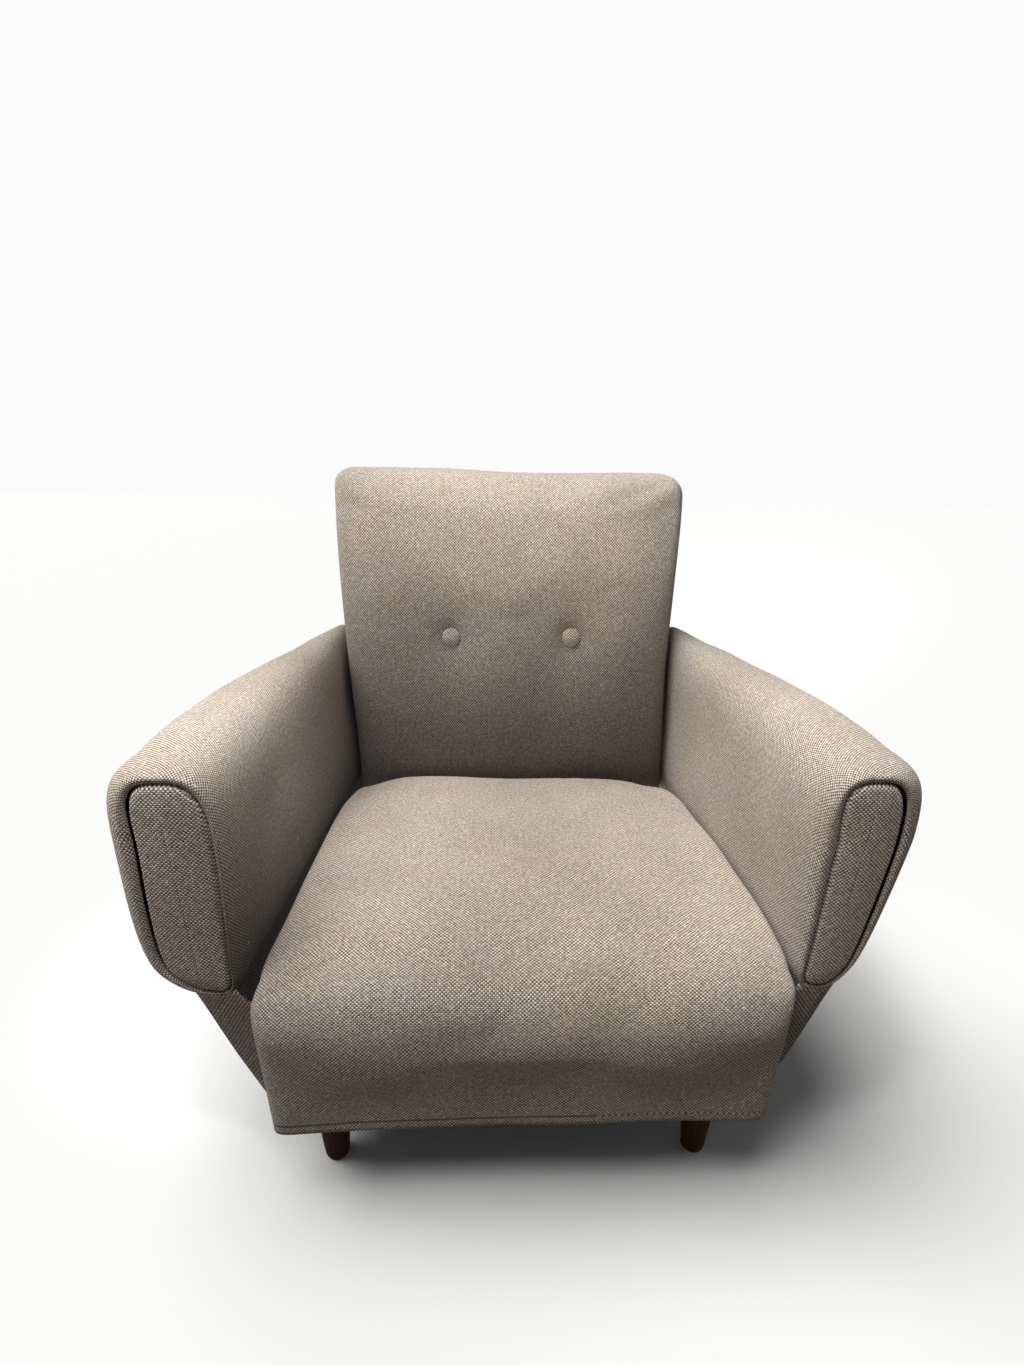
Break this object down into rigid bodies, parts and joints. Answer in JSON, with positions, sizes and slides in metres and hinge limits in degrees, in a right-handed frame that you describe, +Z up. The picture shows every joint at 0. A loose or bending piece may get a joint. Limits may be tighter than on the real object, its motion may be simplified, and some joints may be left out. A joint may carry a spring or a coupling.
{
  "type": "upholstered armchair",
  "caption": "Low old armchair with a sagging sprung seat, a buttoned leaning back and flared stuffed arms with facings, in worn woven tweed on short turned wooden legs.",
  "frame": {"origin": "on the floor, under the middle of the chair's overall box", "axes": "+Z up, front of the seat towards -Y, +X to the chair's own left arm as it is sat in, which is on the right of the picture"},
  "size_m": [0.8396, 0.74, 0.75],
  "materials": {
    "tweed": "coarse basket-weave tweed, flecked beige and taupe, worn and slightly soiled",
    "stained_wood": "dark brown stained beech, satin",
    "frame_wood": "raw planed beech",
    "jute": "woven jute",
    "stuffing": "matted curled fibre",
    "spring_steel": "dull copper-washed wire, aged",
    "lining": "thin black lining cloth"
  },
  "bodies": {
    "root": {"arm_cover_left": "tweed", "arm_cover_right": "tweed", "arm_facing_left": "tweed", "arm_facing_right": "tweed", "arm_front_board_left": "frame_wood", "arm_front_board_right": "frame_wood", "arm_lower_rail_left": "frame_wood", "arm_lower_rail_right": "frame_wood", "arm_padding_left": "stuffing", "arm_padding_right": "stuffing", "arm_top_rail_left": "frame_wood", "arm_top_rail_right": "frame_wood", "back_button_left": "tweed", "back_button_right": "tweed", "back_canvas": "jute", "back_cover": "tweed", "back_lower_rail": "frame_wood", "back_padding": "stuffing", "back_post_left": "frame_wood", "back_post_right": "frame_wood", "back_top_rail": "frame_wood", "corner_block_front_left": "frame_wood", "corner_block_front_right": "frame_wood", "corner_block_rear_left": "frame_wood", "corner_block_rear_right": "frame_wood", "dust_cover": "lining", "leg_bolt_front_left": "spring_steel", "leg_bolt_front_right": "spring_steel", "leg_bolt_rear_left": "spring_steel", "leg_bolt_rear_right": "spring_steel", "leg_front_left": "stained_wood", "leg_front_right": "stained_wood", "leg_rear_left": "stained_wood", "leg_rear_right": "stained_wood", "outside_back_panel": "tweed", "seat_cover": "tweed", "seat_hessian": "jute", "seat_padding": "stuffing", "seat_rail_front": "frame_wood", "seat_rail_left": "frame_wood", "seat_rail_rear": "frame_wood", "seat_rail_right": "frame_wood", "seat_spring_1": "spring_steel", "seat_spring_2": "spring_steel", "seat_spring_3": "spring_steel", "seat_spring_4": "spring_steel", "seat_spring_5": "spring_steel", "seat_spring_6": "spring_steel", "seat_spring_7": "spring_steel", "seat_spring_8": "spring_steel", "seat_spring_9": "spring_steel", "seat_web_cross_1": "jute", "seat_web_cross_2": "jute", "seat_web_cross_3": "jute", "seat_web_long_1": "jute", "seat_web_long_2": "jute", "seat_web_long_3": "jute", "side_panel_left": "tweed", "side_panel_right": "tweed"}
  },
  "joints": []
}
